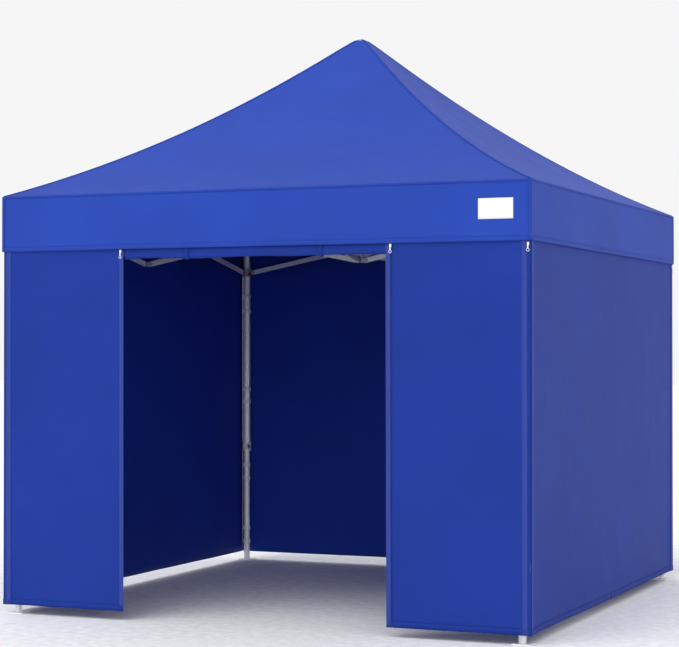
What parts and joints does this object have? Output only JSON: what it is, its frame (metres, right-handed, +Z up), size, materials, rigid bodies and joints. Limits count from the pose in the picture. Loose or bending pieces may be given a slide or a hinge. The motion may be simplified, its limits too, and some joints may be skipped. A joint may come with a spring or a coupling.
{
  "type": "pop up canopy",
  "caption": "Square pop-up canopy: scissor frame on telescopic legs, pyramid roof cover with valance, side walls and a rolled-up door.",
  "frame": {"origin": "on the ground under the middle of the shelter", "axes": "+Z up, the door side faces -Y, +X to the right seen from the door side"},
  "size_m": [3, 3, 3.28],
  "materials": {
    "roof_fabric": "coated polyester, fine weave",
    "wall_fabric": "coated polyester, fine weave",
    "grey_nylon": "moulded, light texture",
    "button_nylon": "moulded",
    "pull_pin": "moulded",
    "silver_powder_coat": "hammered silver powder coat"
  },
  "bodies": {
    "upper_hub": {"centre_top_hub": "grey_nylon", "canopy_top": "roof_fabric"},
    "lower_hub": {"centre_bottom_hub": "grey_nylon"},
    "mast": {"centre_mast": "silver_powder_coat"},
    "front_inner_bar_down": {"front_inner_bar_down": "silver_powder_coat"},
    "front_inner_bar_up": {"front_inner_bar_up": "silver_powder_coat"},
    "front_bar_high_a": {"front_bar_high_a": "silver_powder_coat"},
    "front_bar_high_b": {"front_bar_high_b": "silver_powder_coat"},
    "front_bar_low_a": {"front_bar_low_a": "silver_powder_coat"},
    "front_bar_low_b": {"front_bar_low_b": "silver_powder_coat"},
    "front_bracket_low": {"front_bracket_low": "grey_nylon"},
    "front_bracket_top": {"front_bracket_top": "grey_nylon", "front_wall": "wall_fabric"},
    "front_right_leg": {"front_right_leg": "silver_powder_coat"},
    "front_right_inner_leg": {"front_right_inner_leg": "silver_powder_coat"},
    "front_right_slider": {"front_right_slider": "grey_nylon"},
    "front_right_slider_pin": {"front_right_slider_pin": "pull_pin"},
    "front_right_height_button": {"front_right_height_button": "button_nylon"},
    "right_inner_bar_down": {"right_inner_bar_down": "silver_powder_coat"},
    "right_inner_bar_up": {"right_inner_bar_up": "silver_powder_coat"},
    "right_bar_high_a": {"right_bar_high_a": "silver_powder_coat"},
    "right_bar_high_b": {"right_bar_high_b": "silver_powder_coat"},
    "right_bar_low_a": {"right_bar_low_a": "silver_powder_coat"},
    "right_bar_low_b": {"right_bar_low_b": "silver_powder_coat"},
    "right_bracket_low": {"right_bracket_low": "grey_nylon"},
    "right_bracket_top": {"right_bracket_top": "grey_nylon", "right_wall": "wall_fabric"},
    "back_right_leg": {"back_right_leg": "silver_powder_coat"},
    "back_right_inner_leg": {"back_right_inner_leg": "silver_powder_coat"},
    "back_right_slider": {"back_right_slider": "grey_nylon"},
    "back_right_slider_pin": {"back_right_slider_pin": "pull_pin"},
    "back_right_height_button": {"back_right_height_button": "button_nylon"},
    "back_inner_bar_down": {"back_inner_bar_down": "silver_powder_coat"},
    "back_inner_bar_up": {"back_inner_bar_up": "silver_powder_coat"},
    "back_bar_high_a": {"back_bar_high_a": "silver_powder_coat"},
    "back_bar_high_b": {"back_bar_high_b": "silver_powder_coat"},
    "back_bar_low_a": {"back_bar_low_a": "silver_powder_coat"},
    "back_bar_low_b": {"back_bar_low_b": "silver_powder_coat"},
    "back_bracket_low": {"back_bracket_low": "grey_nylon"},
    "back_bracket_top": {"back_bracket_top": "grey_nylon", "back_wall": "wall_fabric"},
    "back_left_leg": {"back_left_leg": "silver_powder_coat"},
    "back_left_inner_leg": {"back_left_inner_leg": "silver_powder_coat"},
    "back_left_slider": {"back_left_slider": "grey_nylon"},
    "back_left_slider_pin": {"back_left_slider_pin": "pull_pin"},
    "back_left_height_button": {"back_left_height_button": "button_nylon"},
    "left_inner_bar_down": {"left_inner_bar_down": "silver_powder_coat"},
    "left_inner_bar_up": {"left_inner_bar_up": "silver_powder_coat"},
    "left_bar_high_a": {"left_bar_high_a": "silver_powder_coat"},
    "left_bar_high_b": {"left_bar_high_b": "silver_powder_coat"},
    "left_bar_low_a": {"left_bar_low_a": "silver_powder_coat"},
    "left_bar_low_b": {"left_bar_low_b": "silver_powder_coat"},
    "left_bracket_low": {"left_bracket_low": "grey_nylon"},
    "left_bracket_top": {"left_bracket_top": "grey_nylon", "left_wall": "wall_fabric"},
    "front_left_leg": {"front_left_leg": "silver_powder_coat"},
    "front_left_inner_leg": {"front_left_inner_leg": "silver_powder_coat"},
    "front_left_slider": {"front_left_slider": "grey_nylon"},
    "front_left_slider_pin": {"front_left_slider_pin": "pull_pin"},
    "front_left_height_button": {"front_left_height_button": "button_nylon"}
  },
  "joints": [
    {"name": "fold", "type": "hinge", "parent": "upper_hub", "child": "front_inner_bar_down", "pos_m": [0, -0.034, 2.22502], "axis": [1, 0, 0], "range_deg": [0, 76.25], "deforming": ["canopy_top", "front_wall", "right_wall", "back_wall", "left_wall"]},
    {"name": "front_low_bracket_pivot", "type": "hinge", "parent": "front_inner_bar_down", "child": "front_bracket_low", "pos_m": [0, -1.39384, 1.957], "axis": [1, 0, 0], "range_deg": [-76.25, 0]},
    {"name": "front_inner_cross_pivot", "type": "hinge", "parent": "front_inner_bar_down", "child": "front_inner_bar_up", "pos_m": [0, -0.71392, 2.09101], "axis": [1, 0, 0], "range_deg": [-152.5, 0]},
    {"name": "front_top_bracket_pivot", "type": "hinge", "parent": "front_inner_bar_up", "child": "front_bracket_top", "pos_m": [0, -1.39384, 2.22502], "axis": [1, 0, 0], "range_deg": [0, 76.25]},
    {"name": "lower_hub_pivot", "type": "hinge", "parent": "front_inner_bar_up", "child": "lower_hub", "pos_m": [0, -0.034, 1.957], "axis": [1, 0, 0], "range_deg": [0, 76.25]},
    {"name": "front_high_b_pivot", "type": "hinge", "parent": "front_bracket_low", "child": "front_bar_high_b", "pos_m": [0.0282, -1.43404, 1.957], "axis": [0, -1, 0], "range_deg": [0, 76.25]},
    {"name": "front_right_leg_pivot", "type": "hinge", "parent": "front_bar_high_b", "child": "front_right_leg", "pos_m": [1.38804, -1.43404, 2.22502], "axis": [0, -1, 0], "range_deg": [-76.25, 0]},
    {"name": "front_cross_b_pivot", "type": "hinge", "parent": "front_bar_high_b", "child": "front_bar_low_b", "pos_m": [0.70812, -1.43404, 2.09101], "axis": [0, -1, 0], "range_deg": [-152.5, 0]},
    {"name": "front_right_slider_pivot", "type": "hinge", "parent": "front_bar_low_b", "child": "front_right_slider", "pos_m": [1.38804, -1.43404, 1.957], "axis": [0, -1, 0], "range_deg": [0, 76.25]},
    {"name": "front_high_a_pivot", "type": "hinge", "parent": "front_bracket_low", "child": "front_bar_high_a", "pos_m": [-0.0282, -1.43404, 1.957], "axis": [0, -1, 0], "range_deg": [-76.25, 0]},
    {"name": "front_cross_a_pivot", "type": "hinge", "parent": "front_bar_high_a", "child": "front_bar_low_a", "pos_m": [-0.70812, -1.43404, 2.09101], "axis": [0, -1, 0], "range_deg": [0, 152.5]},
    {"name": "front_right_height", "type": "slide", "parent": "front_right_leg", "child": "front_right_inner_leg", "axis": [0, 0, -1], "range_m": [-0.66, 0.09]},
    {"name": "front_right_pin_pull", "type": "slide", "parent": "front_right_slider", "child": "front_right_slider_pin", "axis": [-0.7071, 0.7071, 0], "range_m": [0, 0.01], "stiffness_N_per_m": 800},
    {"name": "front_right_button_press", "type": "slide", "parent": "front_right_leg", "child": "front_right_height_button", "axis": [0.7071, -0.7071, 0], "range_m": [0, 0.005], "stiffness_N_per_m": 600},
    {"name": "right_inner_down_pivot", "type": "hinge", "parent": "upper_hub", "child": "right_inner_bar_down", "pos_m": [0.034, 0, 2.22502], "axis": [0, 1, 0], "range_deg": [0, 76.25]},
    {"name": "right_low_bracket_pivot", "type": "hinge", "parent": "right_inner_bar_down", "child": "right_bracket_low", "pos_m": [1.39384, 0, 1.957], "axis": [0, 1, 0], "range_deg": [-76.25, 0]},
    {"name": "right_inner_cross_pivot", "type": "hinge", "parent": "right_inner_bar_down", "child": "right_inner_bar_up", "pos_m": [0.71392, 0, 2.09101], "axis": [0, 1, 0], "range_deg": [-152.5, 0]},
    {"name": "right_top_bracket_pivot", "type": "hinge", "parent": "right_inner_bar_up", "child": "right_bracket_top", "pos_m": [1.39384, 0, 2.22502], "axis": [0, 1, 0], "range_deg": [0, 76.25]},
    {"name": "right_high_b_pivot", "type": "hinge", "parent": "right_bracket_low", "child": "right_bar_high_b", "pos_m": [1.43404, 0.0282, 1.957], "axis": [1, 0, 0], "range_deg": [0, 76.25]},
    {"name": "back_right_leg_pivot", "type": "hinge", "parent": "right_bar_high_b", "child": "back_right_leg", "pos_m": [1.43404, 1.38804, 2.22502], "axis": [1, 0, 0], "range_deg": [-76.25, 0]},
    {"name": "right_cross_b_pivot", "type": "hinge", "parent": "right_bar_high_b", "child": "right_bar_low_b", "pos_m": [1.43404, 0.70812, 2.09101], "axis": [1, 0, 0], "range_deg": [-152.5, 0]},
    {"name": "back_right_slider_pivot", "type": "hinge", "parent": "right_bar_low_b", "child": "back_right_slider", "pos_m": [1.43404, 1.38804, 1.957], "axis": [1, 0, 0], "range_deg": [0, 76.25]},
    {"name": "right_high_a_pivot", "type": "hinge", "parent": "right_bracket_low", "child": "right_bar_high_a", "pos_m": [1.43404, -0.0282, 1.957], "axis": [1, 0, 0], "range_deg": [-76.25, 0]},
    {"name": "right_cross_a_pivot", "type": "hinge", "parent": "right_bar_high_a", "child": "right_bar_low_a", "pos_m": [1.43404, -0.70812, 2.09101], "axis": [1, 0, 0], "range_deg": [0, 152.5]},
    {"name": "back_right_height", "type": "slide", "parent": "back_right_leg", "child": "back_right_inner_leg", "axis": [0, 0, -1], "range_m": [-0.66, 0.09]},
    {"name": "back_right_pin_pull", "type": "slide", "parent": "back_right_slider", "child": "back_right_slider_pin", "axis": [-0.7071, -0.7071, 0], "range_m": [0, 0.01], "stiffness_N_per_m": 800},
    {"name": "back_right_button_press", "type": "slide", "parent": "back_right_leg", "child": "back_right_height_button", "axis": [0.7071, 0.7071, 0], "range_m": [0, 0.005], "stiffness_N_per_m": 600},
    {"name": "back_inner_down_pivot", "type": "hinge", "parent": "upper_hub", "child": "back_inner_bar_down", "pos_m": [0, 0.034, 2.22502], "axis": [-1, 0, 0], "range_deg": [0, 76.25]},
    {"name": "back_low_bracket_pivot", "type": "hinge", "parent": "back_inner_bar_down", "child": "back_bracket_low", "pos_m": [0, 1.39384, 1.957], "axis": [-1, 0, 0], "range_deg": [-76.25, 0]},
    {"name": "back_inner_cross_pivot", "type": "hinge", "parent": "back_inner_bar_down", "child": "back_inner_bar_up", "pos_m": [0, 0.71392, 2.09101], "axis": [-1, 0, 0], "range_deg": [-152.5, 0]},
    {"name": "back_top_bracket_pivot", "type": "hinge", "parent": "back_inner_bar_up", "child": "back_bracket_top", "pos_m": [0, 1.39384, 2.22502], "axis": [-1, 0, 0], "range_deg": [0, 76.25]},
    {"name": "back_high_b_pivot", "type": "hinge", "parent": "back_bracket_low", "child": "back_bar_high_b", "pos_m": [-0.0282, 1.43404, 1.957], "axis": [0, 1, 0], "range_deg": [0, 76.25]},
    {"name": "back_left_leg_pivot", "type": "hinge", "parent": "back_bar_high_b", "child": "back_left_leg", "pos_m": [-1.38804, 1.43404, 2.22502], "axis": [0, 1, 0], "range_deg": [-76.25, 0]},
    {"name": "back_cross_b_pivot", "type": "hinge", "parent": "back_bar_high_b", "child": "back_bar_low_b", "pos_m": [-0.70812, 1.43404, 2.09101], "axis": [0, 1, 0], "range_deg": [-152.5, 0]},
    {"name": "back_left_slider_pivot", "type": "hinge", "parent": "back_bar_low_b", "child": "back_left_slider", "pos_m": [-1.38804, 1.43404, 1.957], "axis": [0, 1, 0], "range_deg": [0, 76.25]},
    {"name": "back_high_a_pivot", "type": "hinge", "parent": "back_bracket_low", "child": "back_bar_high_a", "pos_m": [0.0282, 1.43404, 1.957], "axis": [0, 1, 0], "range_deg": [-76.25, 0]},
    {"name": "back_cross_a_pivot", "type": "hinge", "parent": "back_bar_high_a", "child": "back_bar_low_a", "pos_m": [0.70812, 1.43404, 2.09101], "axis": [0, 1, 0], "range_deg": [0, 152.5]},
    {"name": "back_left_height", "type": "slide", "parent": "back_left_leg", "child": "back_left_inner_leg", "axis": [0, 0, -1], "range_m": [-0.66, 0.09]},
    {"name": "back_left_pin_pull", "type": "slide", "parent": "back_left_slider", "child": "back_left_slider_pin", "axis": [0.7071, -0.7071, 0], "range_m": [0, 0.01], "stiffness_N_per_m": 800},
    {"name": "back_left_button_press", "type": "slide", "parent": "back_left_leg", "child": "back_left_height_button", "axis": [-0.7071, 0.7071, 0], "range_m": [0, 0.005], "stiffness_N_per_m": 600},
    {"name": "left_inner_down_pivot", "type": "hinge", "parent": "upper_hub", "child": "left_inner_bar_down", "pos_m": [-0.034, 0, 2.22502], "axis": [0, -1, 0], "range_deg": [0, 76.25]},
    {"name": "left_low_bracket_pivot", "type": "hinge", "parent": "left_inner_bar_down", "child": "left_bracket_low", "pos_m": [-1.39384, 0, 1.957], "axis": [0, -1, 0], "range_deg": [-76.25, 0]},
    {"name": "left_inner_cross_pivot", "type": "hinge", "parent": "left_inner_bar_down", "child": "left_inner_bar_up", "pos_m": [-0.71392, 0, 2.09101], "axis": [0, -1, 0], "range_deg": [-152.5, 0]},
    {"name": "left_top_bracket_pivot", "type": "hinge", "parent": "left_inner_bar_up", "child": "left_bracket_top", "pos_m": [-1.39384, 0, 2.22502], "axis": [0, -1, 0], "range_deg": [0, 76.25]},
    {"name": "left_high_b_pivot", "type": "hinge", "parent": "left_bracket_low", "child": "left_bar_high_b", "pos_m": [-1.43404, -0.0282, 1.957], "axis": [-1, 0, 0], "range_deg": [0, 76.25]},
    {"name": "front_left_leg_pivot", "type": "hinge", "parent": "left_bar_high_b", "child": "front_left_leg", "pos_m": [-1.43404, -1.38804, 2.22502], "axis": [-1, 0, 0], "range_deg": [-76.25, 0]},
    {"name": "left_cross_b_pivot", "type": "hinge", "parent": "left_bar_high_b", "child": "left_bar_low_b", "pos_m": [-1.43404, -0.70812, 2.09101], "axis": [-1, 0, 0], "range_deg": [-152.5, 0]},
    {"name": "front_left_slider_pivot", "type": "hinge", "parent": "left_bar_low_b", "child": "front_left_slider", "pos_m": [-1.43404, -1.38804, 1.957], "axis": [-1, 0, 0], "range_deg": [0, 76.25]},
    {"name": "left_high_a_pivot", "type": "hinge", "parent": "left_bracket_low", "child": "left_bar_high_a", "pos_m": [-1.43404, 0.0282, 1.957], "axis": [-1, 0, 0], "range_deg": [-76.25, 0]},
    {"name": "left_cross_a_pivot", "type": "hinge", "parent": "left_bar_high_a", "child": "left_bar_low_a", "pos_m": [-1.43404, 0.70812, 2.09101], "axis": [-1, 0, 0], "range_deg": [0, 152.5]},
    {"name": "front_left_height", "type": "slide", "parent": "front_left_leg", "child": "front_left_inner_leg", "axis": [0, 0, -1], "range_m": [-0.66, 0.09]},
    {"name": "front_left_pin_pull", "type": "slide", "parent": "front_left_slider", "child": "front_left_slider_pin", "axis": [0.7071, 0.7071, 0], "range_m": [0, 0.01], "stiffness_N_per_m": 800},
    {"name": "front_left_button_press", "type": "slide", "parent": "front_left_leg", "child": "front_left_height_button", "axis": [-0.7071, -0.7071, 0], "range_m": [0, 0.005], "stiffness_N_per_m": 600},
    {"name": "mast_slide", "type": "slide", "parent": "upper_hub", "child": "mast", "axis": [0, 0, -1], "range_m": [0, 0.99]}
  ],
  "couplings": [
    {"joint": "front_low_bracket_pivot", "follows": "fold", "ratio": -1},
    {"joint": "front_inner_cross_pivot", "follows": "fold", "ratio": -2},
    {"joint": "front_top_bracket_pivot", "follows": "fold", "ratio": 1},
    {"joint": "lower_hub_pivot", "follows": "fold", "ratio": 1},
    {"joint": "front_high_b_pivot", "follows": "fold", "ratio": 1},
    {"joint": "front_right_leg_pivot", "follows": "fold", "ratio": -1},
    {"joint": "front_cross_b_pivot", "follows": "fold", "ratio": -2},
    {"joint": "front_right_slider_pivot", "follows": "fold", "ratio": 1},
    {"joint": "front_high_a_pivot", "follows": "fold", "ratio": -1},
    {"joint": "front_cross_a_pivot", "follows": "fold", "ratio": 2},
    {"joint": "right_inner_down_pivot", "follows": "fold", "ratio": 1},
    {"joint": "right_low_bracket_pivot", "follows": "fold", "ratio": -1},
    {"joint": "right_inner_cross_pivot", "follows": "fold", "ratio": -2},
    {"joint": "right_top_bracket_pivot", "follows": "fold", "ratio": 1},
    {"joint": "right_high_b_pivot", "follows": "fold", "ratio": 1},
    {"joint": "back_right_leg_pivot", "follows": "fold", "ratio": -1},
    {"joint": "right_cross_b_pivot", "follows": "fold", "ratio": -2},
    {"joint": "back_right_slider_pivot", "follows": "fold", "ratio": 1},
    {"joint": "right_high_a_pivot", "follows": "fold", "ratio": -1},
    {"joint": "right_cross_a_pivot", "follows": "fold", "ratio": 2},
    {"joint": "back_inner_down_pivot", "follows": "fold", "ratio": 1},
    {"joint": "back_low_bracket_pivot", "follows": "fold", "ratio": -1},
    {"joint": "back_inner_cross_pivot", "follows": "fold", "ratio": -2},
    {"joint": "back_top_bracket_pivot", "follows": "fold", "ratio": 1},
    {"joint": "back_high_b_pivot", "follows": "fold", "ratio": 1},
    {"joint": "back_left_leg_pivot", "follows": "fold", "ratio": -1},
    {"joint": "back_cross_b_pivot", "follows": "fold", "ratio": -2},
    {"joint": "back_left_slider_pivot", "follows": "fold", "ratio": 1},
    {"joint": "back_high_a_pivot", "follows": "fold", "ratio": -1},
    {"joint": "back_cross_a_pivot", "follows": "fold", "ratio": 2},
    {"joint": "left_inner_down_pivot", "follows": "fold", "ratio": 1},
    {"joint": "left_low_bracket_pivot", "follows": "fold", "ratio": -1},
    {"joint": "left_inner_cross_pivot", "follows": "fold", "ratio": -2},
    {"joint": "left_top_bracket_pivot", "follows": "fold", "ratio": 1},
    {"joint": "left_high_b_pivot", "follows": "fold", "ratio": 1},
    {"joint": "front_left_leg_pivot", "follows": "fold", "ratio": -1},
    {"joint": "left_cross_b_pivot", "follows": "fold", "ratio": -2},
    {"joint": "front_left_slider_pivot", "follows": "fold", "ratio": 1},
    {"joint": "left_high_a_pivot", "follows": "fold", "ratio": -1},
    {"joint": "left_cross_a_pivot", "follows": "fold", "ratio": 2},
    {"joint": "mast_slide", "follows": "fold", "m_per_rad": 0.7439}
  ]
}
